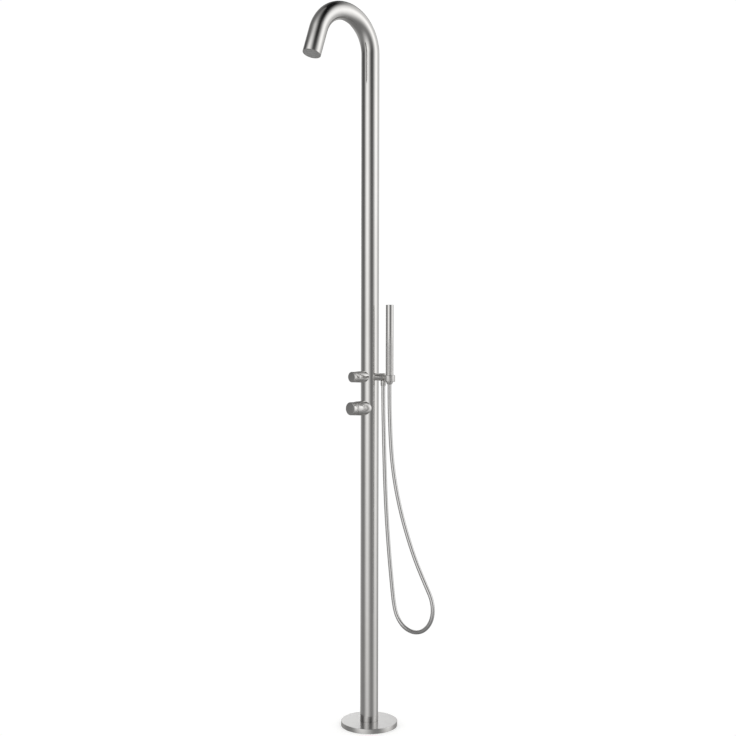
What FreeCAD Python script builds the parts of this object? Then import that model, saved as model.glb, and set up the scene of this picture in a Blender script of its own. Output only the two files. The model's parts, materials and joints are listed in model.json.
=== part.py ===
import FreeCAD, Part
import math
import os

# Outdoor shower post: a bent stainless tube on a floor flange, with a mixer and a
# diverter built into it, and a stick handset on a side arm.
#
# Frame, millimetres: origin on the floor at the centre of the base, +Z up. The spout
# and the two knobs point forward, along -Y. The arm for the handset points along +X.

V = FreeCAD.Vector
ORIGIN = V(0, 0, 0)
UP = V(0, 0, 1)
DOWN = V(0, 0, -1)
FRONT = V(0, -1, 0)
SIDE = V(1, 0, 0)
TINY = 1e-4

# ---- Clearances ----
fit_gap = 0.05          # a spigot, disc or shaft in its bore
part_gap = 0.3          # pieces that pass each other without touching
turn_gap = 0.8          # shadow line between a knob and its sleeve

# ---- Post ----
post_d = 54.0
post_wall = 2.0
tangent_z = 2023.0      # top of the straight tube, where the bend starts
bend_radius = 109.0     # to the tube's centre line
bend_sweep = 161.0      # degrees
tail_length = 77.0      # straight end of the spout, after the bend

# ---- Base ----
flange_thickness = 6.0
anchor_pcd = 122.0
anchor_hole_d = 9.0
anchor_count = 4
cover_d = 170.0
cover_height = 14.0
cover_wall = 2.5
cover_edge = 0.8        # rounding of the cover's upper rim
seal_width = 3.0
seal_height = 3.5

# ---- Water pipes inside the post ----
supply_pipe_d = 12.0
riser_pipe_d = 15.0
pipe_wall = 1.0
socket_depth = 10.0
socket_wall = 2.5
inlet_thread_d = 16.66
inlet_depth = 13.0
inlet_shoulder = 4.0    # height of the fitting's shoulder on the flange
inlet_lip = 1.0         # width of that shoulder
supply_pipe_foot = 18.0  # height of the supply pipes' lower ends
floor_relief = 0.5      # the fittings stay this far above the floor

# ---- Valves, shared ----
valve_floor = 10.0      # from the post's axis to the floor of a valve block's pocket
block_wall = 2.5
cartridge_wall = 2.0
cartridge_base = 3.0
disc_thickness = 3.0
driver_thickness = 2.5
housing_wall = 3.5
nut_width = 3.0         # ring of the nut that holds a cartridge down
nut_length = 9.0
neck_reach = 3.0        # how far the cartridge's neck stands out of the sleeve
boss_wall = 4.0
knob_face = 6.0
knob_wall = 2.5
knob_edge = 2.0         # rounding of a knob's front rim
sleeve_edge = 0.5
grub_screw_d = 4.0
grub_socket_d = 2.0
spindle_flat = 0.8

# ---- Mixer, the lower control; reaches are from the post's axis ----
mixer_z = 964.0
mixer_base_d = 45.0     # of the sleeve at the post
mixer_face_d = 38.8     # of the knob at its face
mixer_sleeve_reach = 65.2
mixer_knob_reach = 82.5
mixer_cartridge_d = 28.0
mixer_spindle_d = 8.0
mixer_port_d = 5.6

# ---- Diverter, the upper control ----
control_spacing = 94.0  # from the mixer's axis up to the diverter's
diverter_z = mixer_z + control_spacing
diverter_base_d = 35.0
diverter_face_d = 31.2
diverter_sleeve_reach = 59.6
diverter_knob_reach = 77.0
diverter_cartridge_d = 20.0
diverter_spindle_d = 7.0
diverter_port_d = 4.0

# ---- Spout outlet ----
spray_plate_thickness = 2.0
spray_hole_d = 2.6
spray_pitch = 8.6       # from ring to ring of nozzles
spray_rings = 2
nozzle_height = 1.0     # how far a nozzle stands out of the plate
nozzle_tip_d = 1.6
nozzle_mat_thickness = 2.5
outlet_ledge = 2.0
outlet_rim_length = 14.0
outlet_wall = 2.0
oring_d = 2.6

# ---- Arm and holder ----
arm_d = 22.5
arm_reach = 65.0
arm_shank_d = 16.0
arm_spigot_d = 14.0
arm_bore_d = 7.0
outlet_x = 57.0
nipple_d = 9.0
nipple_length = 7.0
nipple_wall = 1.5
holder_x = 83.0
holder_d = 33.0
holder_rise = 6.5       # top of the holder above the arm's axis
holder_height = 20.0
holder_edge = 2.2
holder_wall = 3.0
slot_clearance = 1.0    # beside the hose as it leaves the holder

# ---- Handset ----
handset_d = 23.1
handset_wall = 1.2
handset_length = 207.0  # from the cone nut's top to the cap's top
handset_edge = 0.8
cap_thickness = 2.5
cap_plug = 6.0
waterway_wall = 1.3
window_width = 9.0
window_height = 108.0
window_top_margin = 14.0
nub_rows = 9
nub_columns = 2
nub_d = 1.8
nub_tip_d = 1.2
nub_reach = 0.8
seat_step = 0.4         # the cone nut is this much wider than the handset, in radius
seat_taper = 0.95       # loss of radius from the holder's top to its bottom
nut_stand = 1.0         # top of the cone nut above the holder
nut_drop = 7.5          # bottom of the cone nut below the holder
nut_lip = 1.2           # width of the nut's lower face
thread_length = 6.0
thread_step = 0.5       # the thread is this much smaller than the handset's bore

# ---- Hose ----
hose_d = 12.0
hose_bore_d = 8.0
ferrule_d = 16.0
ferrule_length = 15.0
ferrule_edge = 1.2
hose_grip = 5.0         # how far the hose enters the ferrule and the cone nut
stem_d = 10.0
stem_bore_d = 6.4
stem_flange_d = 15.0
stem_flange = 2.0
collar_height = 6.0
washer_thickness = 1.6
smallest_bend = 5.0     # of the hose, in hose diameters
corner_share = 0.45     # share of a run that the arc at its corner may take

# ---- Worked out from the sizes above ----
mixer_housing_d = mixer_cartridge_d + 2 * housing_wall
diverter_housing_d = diverter_cartridge_d + 2 * housing_wall
post_r = post_d / 2
post_bore_r = post_r - post_wall
block_limit_r = post_bore_r - part_gap
flange_d = cover_d - 2 * cover_wall - 2 * part_gap
supply_x = post_bore_r / 2
supply_boss_r = supply_pipe_d / 2 + socket_wall
riser_boss_r = riser_pipe_d / 2 + socket_wall
handset_r = handset_d / 2
holder_top = diverter_z + holder_rise
holder_bottom = holder_top - holder_height
nut_top = holder_top + nut_stand
nut_bottom = holder_bottom - nut_drop
handset_top = nut_top + handset_length
nut_top_r = handset_r + seat_step
nut_waist_r = nut_top_r - seat_taper
arm_underside = diverter_z - arm_d / 2
ferrule_bottom = arm_underside - ferrule_length
hose_start_z = ferrule_bottom + hose_grip
hose_end_z = nut_bottom + hose_grip

# The hose hangs in the plane of the arm: (x, z) of its route, from the outlet under the
# arm down to the low point of the loop and up again to the cone nut.
HOSE_ROUTE = [
    (outlet_x, hose_start_z),
    (outlet_x, 985), (58.6, 925), (61.2, 850), (64.4, 765), (69.2, 680), (76.3, 595),
    (85.8, 510), (95.0, 440), (102.5, 388), (114.5, 351), (141.0, 324), (178.0, 313.5),
    (216.0, 321.5), (246.0, 347), (260.0, 383), (254.5, 422), (229.0, 461), (190.5, 524),
    (158.0, 592), (131.0, 660), (109.0, 734), (95.2, 804), (88.6, 868), (85.3, 928),
    (holder_x, 984),
    (holder_x, hose_end_z),
]


# ---- Shape helpers ----
def rod(radius, start, end, base=ORIGIN, axis=UP):
    """Cylinder along an axis, from one distance to another."""
    return Part.makeCylinder(radius, end - start, base + axis * start, axis)


def tube(outer_r, inner_r, start, end, base=ORIGIN, axis=UP):
    """Hollow cylinder along an axis."""
    return rod(outer_r, start, end, base, axis).cut(rod(inner_r, start, end, base, axis))


def turned(profile, base=ORIGIN, axis=UP):
    """Lathe-turned solid; profile is a closed list of (radius, distance along the axis)."""
    corners = [V(radius, 0, along) for radius, along in profile]
    face = Part.Face(Part.makePolygon(corners + corners[:1]))
    solid = face.revolve(ORIGIN, UP, 360)
    solid.Placement = FreeCAD.Placement(base, FreeCAD.Rotation(UP, axis))
    return solid


def rounded(solid, size, radius, centre):
    """Round the circular edges of this radius about this centre."""
    edges = []
    for edge in solid.Edges:
        curve = edge.Curve
        if not isinstance(curve, Part.Circle):
            continue
        if abs(curve.Radius - radius) < TINY and curve.Center.distanceToPoint(centre) < TINY:
            edges.append(edge)
    return solid.makeFillet(size, edges)


def on_circle(radius, angle, base=ORIGIN, across=SIDE, up=UP):
    """Point on a circle about base; the angle is in degrees from the direction across."""
    turn = math.radians(angle)
    return base + across * (radius * math.cos(turn)) + up * (radius * math.sin(turn))


# ---- Post and spout ----
bend_centre = V(0, -bend_radius, tangent_z)
spout_axis = V(0, -math.sin(math.radians(bend_sweep)), math.cos(math.radians(bend_sweep)))
bend_exit = bend_centre + V(0, -spout_axis.z, spout_axis.y) * -bend_radius
spout_end = bend_exit + spout_axis * tail_length
post_solid = rod(post_r, 0, tangent_z)


def bent_tube(outer_r, inner_r, straight_end):
    """Tube that follows the spout: the bend and then a straight run beyond it."""
    outer = Part.Face(Part.Wire(Part.makeCircle(outer_r, V(0, 0, tangent_z), UP)))
    inner = Part.Face(Part.Wire(Part.makeCircle(inner_r, V(0, 0, tangent_z), UP)))
    bend = outer.cut(inner).revolve(bend_centre, SIDE, bend_sweep)
    straight = tube(outer_r, inner_r, 0, straight_end, bend_exit, spout_axis)
    return bend.fuse(straight).removeSplitter()


def make_post_tube():
    wall = tube(post_r, post_bore_r, flange_thickness, tangent_z)
    mixer_hole = rod(mixer_housing_d / 2 + part_gap, 0, post_d, V(0, 0, mixer_z), FRONT)
    diverter_hole = rod(diverter_housing_d / 2 + part_gap, 0, post_d, V(0, 0, diverter_z), FRONT)
    arm_hole = rod(arm_shank_d / 2 + part_gap, 0, post_d, V(0, 0, diverter_z), SIDE)
    return wall.cut(mixer_hole).cut(diverter_hole).cut(arm_hole)


def make_spout_bend():
    return bent_tube(post_r, post_bore_r, tail_length)


# ---- Base ----
def make_base_flange():
    plate = rod(flange_d / 2, 0, flange_thickness)
    for number in range(anchor_count):
        angle = (number + 0.5) * 360 / anchor_count
        centre = on_circle(anchor_pcd / 2, angle, ORIGIN, SIDE, V(0, 1, 0))
        plate = plate.cut(rod(anchor_hole_d / 2, 0, flange_thickness, centre))
    for side in (-1, 1):
        hole = rod(inlet_barrel_r() + fit_gap, 0, flange_thickness, V(side * supply_x, 0, 0))
        plate = plate.cut(hole)
    return plate


def make_base_cover():
    outer_r = cover_d / 2
    hole_r = post_r + part_gap
    shell = turned([
        (hole_r, cover_height - cover_wall),
        (outer_r - cover_wall, cover_height - cover_wall),
        (outer_r - cover_wall, 0),
        (outer_r, 0),
        (outer_r, cover_height),
        (hole_r, cover_height),
    ])
    return rounded(shell, cover_edge, outer_r, V(0, 0, cover_height))


def make_cover_seal():
    top = cover_height - cover_wall
    return tube(post_r + seal_width, post_r, top - seal_height, top)


# ---- Water inlets and pipes ----
def inlet_shoulder_r():
    return supply_x - part_gap


def inlet_barrel_r():
    return inlet_shoulder_r() - inlet_lip


def make_inlet_fitting(side):
    barrel_r = inlet_barrel_r()
    shoulder_top = flange_thickness + inlet_shoulder
    socket_r = supply_pipe_d / 2 + fit_gap
    way_r = supply_pipe_d / 2 - pipe_wall
    return turned([
        (inlet_thread_d / 2, floor_relief),
        (barrel_r, floor_relief),
        (barrel_r, flange_thickness),
        (inlet_shoulder_r(), flange_thickness),
        (inlet_shoulder_r(), shoulder_top),
        (supply_boss_r, shoulder_top),
        (supply_boss_r, supply_pipe_foot + socket_depth),
        (socket_r, supply_pipe_foot + socket_depth),
        (socket_r, supply_pipe_foot),
        (way_r, supply_pipe_foot),
        (way_r, floor_relief + inlet_depth),
        (inlet_thread_d / 2, floor_relief + inlet_depth),
    ], V(side * supply_x, 0, 0))


def mixer_inlet_z():
    """Lower end of the mixer block's two inlet bosses."""
    return mixer_z - mixer_housing_d / 2 - block_wall - socket_depth


def mixer_outlet_z():
    return mixer_z + mixer_housing_d / 2 + block_wall + socket_depth


def diverter_inlet_z():
    return diverter_z - diverter_housing_d / 2 - block_wall - socket_depth


def diverter_outlet_z():
    return diverter_z + diverter_housing_d / 2 + block_wall + socket_depth


def make_supply_pipe(side):
    end = mixer_inlet_z() + socket_depth
    outer_r = supply_pipe_d / 2
    return tube(outer_r, outer_r - pipe_wall, supply_pipe_foot, end, V(side * supply_x, 0, 0))


def make_link_pipe():
    outer_r = riser_pipe_d / 2
    start = mixer_outlet_z() - socket_depth
    return tube(outer_r, outer_r - pipe_wall, start, diverter_inlet_z() + socket_depth)


def make_riser_pipe():
    outer_r = riser_pipe_d / 2
    inner_r = outer_r - pipe_wall
    bent_end = tail_length - outlet_depth() + socket_depth
    rise = tube(outer_r, inner_r, diverter_outlet_z() - socket_depth, tangent_z)
    return rise.fuse(bent_tube(outer_r, inner_r, bent_end)).removeSplitter()


# ---- Valves ----
def block_core(height, housing_r):
    """Round block that lies across the post's bore, from the back to the front."""
    return rod(housing_r + block_wall, -post_bore_r, post_bore_r, V(0, 0, height), FRONT)


def trimmed_block(body, height, housing_r):
    """Cut the block to the post's bore and open its pocket."""
    tall = 2 * (housing_r + block_wall + socket_depth)
    bore = rod(block_limit_r, height - tall, height + tall)
    pocket = rod(housing_r + fit_gap, valve_floor, post_d, V(0, 0, height), FRONT)
    return body.common(bore).cut(pocket)


def mixer_ports():
    """Centres of the cold, hot and mixed ports on the pocket's floor, at the post's axis."""
    radius = mixer_cartridge_d / 4
    centre = V(0, 0, mixer_z)
    return [on_circle(radius, angle, centre) for angle in (210, 330, 90)]


def diverter_ports():
    """Centres of the supply, spout and handset ports."""
    radius = diverter_cartridge_d / 4
    centre = V(0, 0, diverter_z)
    return [on_circle(radius, angle, centre) for angle in (270, 90, 0)]


def make_mixer_block():
    housing_r = mixer_housing_d / 2
    port_r = mixer_port_d / 2
    way_r = supply_pipe_d / 2 - pipe_wall
    out_way_r = riser_pipe_d / 2 - pipe_wall
    body = block_core(mixer_z, housing_r)
    for side in (-1, 1):
        body = body.fuse(rod(supply_boss_r, mixer_inlet_z(), mixer_z, V(side * supply_x, 0, 0)))
    body = body.fuse(rod(riser_boss_r, mixer_z, mixer_outlet_z()))
    body = trimmed_block(body, mixer_z, housing_r)
    cold, hot, mixed = mixer_ports()
    for side, port in ((-1, cold), (1, hot)):
        base = V(side * supply_x, 0, 0)
        body = body.cut(rod(supply_pipe_d / 2 + fit_gap, mixer_inlet_z(),
                            mixer_inlet_z() + socket_depth, base))
        body = body.cut(rod(way_r, mixer_inlet_z(), port.z, base))
        cross = rod(port_r, abs(port.x), supply_x, V(0, 0, port.z), SIDE * side)
        body = body.cut(cross).cut(rod(port_r, 0, valve_floor, port, FRONT))
    top = mixer_outlet_z()
    body = body.cut(rod(riser_pipe_d / 2 + fit_gap, top - socket_depth, top))
    body = body.cut(rod(out_way_r, mixed.z, top))
    return body.cut(rod(port_r, 0, valve_floor, mixed, FRONT))


def make_diverter_block():
    housing_r = diverter_housing_d / 2
    port_r = diverter_port_d / 2
    way_r = riser_pipe_d / 2 - pipe_wall
    socket_r = riser_pipe_d / 2 + fit_gap
    side_boss_r = arm_shank_d / 2 + socket_wall
    centre = V(0, 0, diverter_z)
    body = block_core(diverter_z, housing_r)
    body = body.fuse(rod(riser_boss_r, diverter_inlet_z(), diverter_outlet_z()))
    body = body.fuse(rod(side_boss_r, 0, post_bore_r, centre, SIDE))
    body = trimmed_block(body, diverter_z, housing_r)
    supply, spout, handset = diverter_ports()
    low, high = diverter_inlet_z(), diverter_outlet_z()
    narrow_r = diverter_port_d
    body = body.cut(rod(socket_r, low, low + socket_depth))
    body = body.cut(rod(socket_r, high - socket_depth, high))
    body = body.cut(rod(way_r, low, low + socket_depth + block_wall))
    body = body.cut(rod(way_r, high - socket_depth - block_wall, high))
    body = body.cut(rod(narrow_r, low, supply.z)).cut(rod(narrow_r, spout.z, high))
    body = body.cut(rod(arm_shank_d / 2 + fit_gap, arm_socket_x(), post_bore_r, centre, SIDE))
    body = body.cut(rod(port_r, handset.x, post_bore_r, centre, SIDE))
    for port in (supply, spout, handset):
        body = body.cut(rod(port_r, 0, valve_floor, port, FRONT))
    return body


def arm_socket_x():
    """Floor of the socket in the diverter block that takes the arm's shank."""
    return block_limit_r - socket_depth


class Control:
    """One turning control: the pieces between its valve block and the user's hand.

    Sleeve and knob share one outline, a slim cone that narrows towards the knob's face.
    """

    def __init__(self, height, base_d, face_d, sleeve_reach, knob_reach, housing_d,
                 cartridge_d, spindle_d, ports, port_d):
        self.centre = V(0, 0, height)
        self.base_r = base_d / 2
        self.face_r = face_d / 2
        self.sleeve_end = sleeve_reach
        self.knob_start = sleeve_reach + turn_gap
        self.knob_end = knob_reach
        self.housing_r = housing_d / 2
        self.cartridge_r = cartridge_d / 2
        self.spindle_r = spindle_d / 2
        self.ports = ports
        self.port_r = port_d / 2
        self.cavity_r = self.cartridge_r - cartridge_wall
        self.neck_r = self.cartridge_r - nut_width - part_gap
        self.cartridge_end = sleeve_reach - nut_length
        self.neck_end = sleeve_reach + neck_reach
        self.discs_start = valve_floor + cartridge_base
        self.moving_start = self.discs_start + disc_thickness + fit_gap
        self.driver_start = self.moving_start + disc_thickness
        self.driver_end = self.driver_start + driver_thickness
        self.boss_start = self.neck_end + turn_gap
        self.boss_end = knob_reach - knob_face
        self.boss_r = self.spindle_r + boss_wall
        self.screw_along = (self.boss_start + self.boss_end) / 2

    def bar(self, radius, start, end):
        return rod(radius, start, end, self.centre, FRONT)

    def outline_r(self, along):
        """Radius of the cone at a distance from the post's axis."""
        share = (along - post_r) / (self.knob_end - post_r)
        return self.base_r + (self.face_r - self.base_r) * share

    def cut_ports(self, solid, start, end):
        for port in self.ports:
            solid = solid.cut(rod(self.port_r, start, end, port, FRONT))
        return solid

    def housing(self):
        outer = self.bar(self.housing_r, valve_floor, self.sleeve_end)
        return outer.cut(self.bar(self.cartridge_r + fit_gap, valve_floor, self.sleeve_end))

    def cartridge(self):
        top = self.cartridge_end
        shell = self.bar(self.cartridge_r, valve_floor, top)
        shell = shell.fuse(self.bar(self.neck_r, top, self.neck_end))
        shell = shell.cut(self.bar(self.cavity_r, self.discs_start, self.driver_end + part_gap))
        shell = shell.cut(self.bar(self.spindle_r + fit_gap, self.discs_start, self.neck_end))
        return self.cut_ports(shell, valve_floor, self.discs_start)

    def fixed_disc(self):
        disc = self.bar(self.cavity_r - fit_gap, self.discs_start,
                        self.discs_start + disc_thickness)
        return self.cut_ports(disc, self.discs_start, self.driver_start)

    def moving_disc(self):
        """Ceramic disc with the half-round channel that joins the ports as it turns."""
        start = self.moving_start
        disc = self.bar(self.cavity_r - part_gap, start, start + disc_thickness)
        ring = self.ports[0].sub(self.centre).Length
        depth = start + disc_thickness / 2
        channel = self.bar(ring + self.port_r, start, depth)
        channel = channel.cut(self.bar(ring - self.port_r, start, depth))
        width = 2 * self.cartridge_r
        upper = Part.makeBox(width, post_d * 2, width, self.centre + V(-width / 2, -post_d * 2, 0))
        return disc.cut(channel.common(upper))

    def spindle(self):
        driver = self.bar(self.cavity_r - part_gap, self.driver_start, self.driver_end)
        stem = self.bar(self.spindle_r, self.driver_start, self.boss_end)
        length = self.boss_end - self.boss_start
        flat = Part.makeBox(2 * self.spindle_r, length, spindle_flat, V(
            -self.spindle_r, -self.boss_end, self.centre.z - self.spindle_r))
        return driver.fuse(stem).cut(flat)

    def retaining_nut(self):
        outer = self.bar(self.cartridge_r, self.cartridge_end, self.sleeve_end)
        return outer.cut(self.bar(self.neck_r + part_gap, self.cartridge_end, self.sleeve_end))

    def sleeve(self):
        """Outer sleeve, cut to sit on the round of the post."""
        end_r = self.outline_r(self.sleeve_end)
        outer = turned([
            (0, 0),
            (self.base_r, 0),
            (self.base_r, post_r),
            (end_r, self.sleeve_end),
            (0, self.sleeve_end),
        ], self.centre, FRONT)
        outer = rounded(outer, sleeve_edge, end_r, self.centre + FRONT * self.sleeve_end)
        bore = self.bar(self.housing_r + part_gap, 0, self.sleeve_end)
        return outer.cut(bore).cut(post_solid)

    def knob(self):
        start_r = self.outline_r(self.knob_start)
        cap = Part.makeCone(start_r, self.face_r, self.knob_end - self.knob_start,
                            self.centre + FRONT * self.knob_start, FRONT)
        cap = rounded(cap, knob_edge, self.face_r, self.centre + FRONT * self.knob_end)
        cap = rounded(cap, sleeve_edge, start_r, self.centre + FRONT * self.knob_start)
        cap = cap.cut(self.bar(self.face_r - knob_wall, self.knob_start, self.boss_end))
        cap = cap.fuse(self.bar(self.boss_r, self.boss_start, self.boss_end))
        cap = cap.cut(self.bar(self.spindle_r, self.boss_start, self.boss_end))
        key_way = rod(grub_screw_d / 2 + fit_gap, 0, start_r, self.screw_point(), DOWN)
        return cap.cut(key_way)

    def screw_point(self):
        return self.centre + FRONT * self.screw_along

    def grub_screw(self):
        start = self.spindle_r - spindle_flat
        screw = rod(grub_screw_d / 2, start, self.boss_r, self.screw_point(), DOWN)
        socket = rod(grub_socket_d / 2, self.boss_r - grub_socket_d, self.boss_r,
                     self.screw_point(), DOWN)
        return screw.cut(socket)

    def pieces(self, name):
        return {
            name + "_housing": self.housing(),
            name + "_cartridge": self.cartridge(),
            name + "_fixed_disc": self.fixed_disc(),
            name + "_moving_disc": self.moving_disc(),
            name + "_spindle": self.spindle(),
            name + "_retaining_nut": self.retaining_nut(),
            name + "_sleeve": self.sleeve(),
            name + "_knob": self.knob(),
            name + "_grub_screw": self.grub_screw(),
        }


# ---- Spout outlet ----
def outlet_depth():
    """From the spout's open end back to the riser's end of the outlet body."""
    seat = spray_plate_thickness + nozzle_mat_thickness
    return seat + outlet_rim_length + outlet_wall + socket_depth


def nozzle_centres():
    """One nozzle in the middle, and rings round it of six more each time."""
    centres = [spout_end]
    across, up = SIDE, spout_axis.cross(SIDE)
    for ring in range(1, spray_rings + 1):
        for number in range(6 * ring):
            centres.append(on_circle(ring * spray_pitch, number * 60 / ring, spout_end, across, up))
    return centres


def make_spray_plate():
    plate = rod(post_bore_r - fit_gap, -spray_plate_thickness, 0, spout_end, spout_axis)
    holes = [rod(spray_hole_d / 2, -spray_plate_thickness, 0, centre, spout_axis)
             for centre in nozzle_centres()]
    return plate.cut(Part.makeCompound(holes))


def make_nozzle_mat():
    seat = spray_plate_thickness + nozzle_mat_thickness
    mat = rod(mat_r(), -seat, -spray_plate_thickness, spout_end, spout_axis)
    nozzles = []
    for centre in nozzle_centres():
        base = centre - spout_axis * spray_plate_thickness
        nozzles.append(Part.makeCone(spray_hole_d / 2 - fit_gap, nozzle_tip_d / 2,
                                     spray_plate_thickness + nozzle_height, base, spout_axis))
    return mat.fuse(nozzles)


def mat_r():
    return post_bore_r - fit_gap - outlet_wall


def make_outlet_body():
    outer_r = post_bore_r - fit_gap
    chamber_r = mat_r() - outlet_ledge
    front = -spray_plate_thickness
    seat = front - nozzle_mat_thickness
    chamber_back = seat - outlet_rim_length + outlet_wall
    rim_back = chamber_back - outlet_wall
    back = -outlet_depth()
    way_r = riser_pipe_d / 2 - pipe_wall
    socket_r = riser_pipe_d / 2 + fit_gap
    groove_front = oring_along() + oring_d / 2
    groove_back = oring_along() - oring_d / 2
    return turned([
        (mat_r() + fit_gap, front),
        (outer_r, front),
        (outer_r, groove_front),
        (outer_r - oring_d + fit_gap, groove_front),
        (outer_r - oring_d + fit_gap, groove_back),
        (outer_r, groove_back),
        (outer_r, rim_back),
        (riser_boss_r, rim_back),
        (riser_boss_r, back),
        (socket_r, back),
        (socket_r, back + socket_depth),
        (way_r, back + socket_depth),
        (way_r, chamber_back),
        (chamber_r, chamber_back),
        (chamber_r, seat),
        (mat_r() + fit_gap, seat),
    ], spout_end, spout_axis)


def oring_along():
    """Place of the O-ring's centre, measured from the spout's open end."""
    return -spray_plate_thickness - nozzle_mat_thickness - outlet_rim_length + outlet_wall * 2


def make_outlet_oring():
    centre_r = post_bore_r - oring_d / 2
    return Part.makeTorus(centre_r, oring_d / 2, spout_end + spout_axis * oring_along(), spout_axis)


# ---- Arm and holder ----
def make_arm():
    centre = V(0, 0, diverter_z)
    holder_side = holder_x - holder_d / 2
    bar = rod(arm_d / 2, 0, arm_reach, centre, SIDE)
    bar = rounded(bar, sleeve_edge, arm_d / 2, centre + SIDE * arm_reach).cut(post_solid)
    shank = rod(arm_shank_d / 2, arm_socket_x(), post_r + arm_d / 4, centre, SIDE)
    spigot = rod(arm_spigot_d / 2, arm_reach - holder_wall, holder_side + holder_wall / 2,
                 centre, SIDE)
    outlet = V(outlet_x, 0, 0)
    nipple = rod(nipple_d / 2, arm_underside - nipple_length, diverter_z, outlet)
    way = rod(arm_bore_d / 2, arm_socket_x(), outlet_x + nipple_d / 2, centre, SIDE)
    drop = rod(nipple_d / 2 - nipple_wall, arm_underside - nipple_length, diverter_z, outlet)
    return bar.fuse([shank, spigot, nipple]).cut(way).cut(drop)


def make_holder():
    """Cup with a tapered seat for the cone nut and a slot that lets the hose out."""
    centre = V(holder_x, 0, 0)
    outer_r = holder_d / 2
    cup = rod(outer_r, holder_bottom, holder_top, centre)
    for height in (holder_bottom, holder_top):
        cup = rounded(cup, holder_edge, outer_r, V(holder_x, 0, height))
    seat = Part.makeCone(nut_waist_r + part_gap, nut_top_r + part_gap, holder_height,
                         V(holder_x, 0, holder_bottom))
    slot_width = hose_d + 2 * slot_clearance
    slot = Part.makeBox(slot_width, holder_d, holder_height,
                        V(holder_x - slot_width / 2, 0, holder_bottom))
    spigot_hole = rod(arm_spigot_d / 2, 0, holder_x - outer_r + holder_wall / 2,
                      V(0, 0, diverter_z), SIDE)
    return cup.cut(seat).cut(slot).cut(spigot_hole)


# ---- Handset ----
def nut_cavity_z():
    """Floor of the cone nut's threaded cavity, under the stem's flange."""
    return nut_top - washer_thickness - stem_flange - 2 * fit_gap - thread_length


def thread_r():
    return handset_r - handset_wall - thread_step


def collar_z():
    """Top of the stem's collar, on which the cone nut rests."""
    return hose_end_z + collar_height


def make_cone_nut():
    """Turned nut that joins hose and handset; its outside is the cone that the holder takes."""
    neck_r = hose_d / 2 + part_gap
    stem_hole_r = stem_d / 2 + fit_gap
    return turned([
        (neck_r, nut_bottom),
        (neck_r + nut_lip, nut_bottom),
        (nut_waist_r, holder_bottom),
        (nut_top_r, holder_top),
        (handset_r, nut_top),
        (thread_r(), nut_top),
        (thread_r(), nut_cavity_z()),
        (stem_hole_r, nut_cavity_z()),
        (stem_hole_r, collar_z()),
        (neck_r, collar_z()),
    ], V(holder_x, 0, 0))


def make_hose_stem():
    """End fitting of the hose: the cone nut and handset turn on it."""
    flange_z = nut_cavity_z() + fit_gap
    return turned([
        (stem_bore_d / 2, hose_end_z),
        (hose_d / 2, hose_end_z),
        (hose_d / 2, collar_z() - fit_gap),
        (stem_d / 2, collar_z() - fit_gap),
        (stem_d / 2, flange_z),
        (stem_flange_d / 2, flange_z),
        (stem_flange_d / 2, flange_z + stem_flange),
        (stem_bore_d / 2, flange_z + stem_flange),
    ], V(holder_x, 0, 0))


def washer_z():
    return nut_cavity_z() + stem_flange + 2 * fit_gap


def make_handset_washer():
    return tube(thread_r() - fit_gap, stem_bore_d / 2, washer_z(), washer_z() + washer_thickness,
                V(holder_x, 0, 0))


def window_top():
    return handset_top - cap_thickness - window_top_margin


def window_box(inner_r, outer_r, width, height):
    """Block over the nozzle window, on the side of the handset that faces the post."""
    low = window_top() - window_height / 2 - height / 2
    return Part.makeBox(outer_r - inner_r, width, height,
                        V(holder_x - outer_r, -width / 2, low))


def make_handset_waterway():
    """Plastic inner tube with the threaded spigot and the slot that feeds the nozzles."""
    centre = V(holder_x, 0, 0)
    outer_r = handset_r - handset_wall - fit_gap
    start = washer_z() + washer_thickness
    end = handset_top - cap_thickness - cap_plug
    core_r = thread_r() - fit_gap
    core = tube(core_r, core_r - 2 * waterway_wall, start, nut_top, centre)
    barrel = tube(outer_r, outer_r - waterway_wall, nut_top, end, centre)
    step = tube(outer_r, core_r - 2 * waterway_wall, nut_top, nut_top + waterway_wall, centre)
    feed = window_box(0, outer_r, window_width - 2 * waterway_wall, window_height)
    return core.fuse([barrel, step]).cut(feed)


def make_handset_tube():
    barrel = tube(handset_r, handset_r - handset_wall, nut_top, handset_top - cap_thickness,
                  V(holder_x, 0, 0))
    return barrel.cut(window_box(0, handset_r, window_width, window_height))


def make_handset_cap():
    centre = V(holder_x, 0, 0)
    under = handset_top - cap_thickness
    disc = rounded(rod(handset_r, under, handset_top, centre), handset_edge, handset_r,
                   V(holder_x, 0, handset_top))
    return disc.fuse(rod(handset_r - handset_wall - fit_gap, under - cap_plug, under, centre))


def make_nozzle_strip():
    """Silicone strip that fills the window flush, with two rows of nozzles."""
    inner_r = handset_r - handset_wall
    wall = tube(handset_r, inner_r, window_top() - window_height, window_top(),
                V(holder_x, 0, 0))
    strip = wall.common(window_box(0, handset_r, window_width - 2 * fit_gap,
                                   window_height - 2 * fit_gap))
    pitch = window_height / (nub_rows + 1)
    spread = window_width / (nub_columns + 1)
    nubs = []
    for row in range(nub_rows):
        for column in range(nub_columns):
            offset = (column - (nub_columns - 1) / 2) * spread
            height = window_top() - pitch * (row + 1)
            root = V(holder_x - inner_r + fit_gap, offset, height)
            reach = handset_wall + nub_reach
            nubs.append(Part.makeCone(nub_d / 2, nub_tip_d / 2, reach, root, V(-1, 0, 0)))
    return strip.fuse(nubs)


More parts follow.
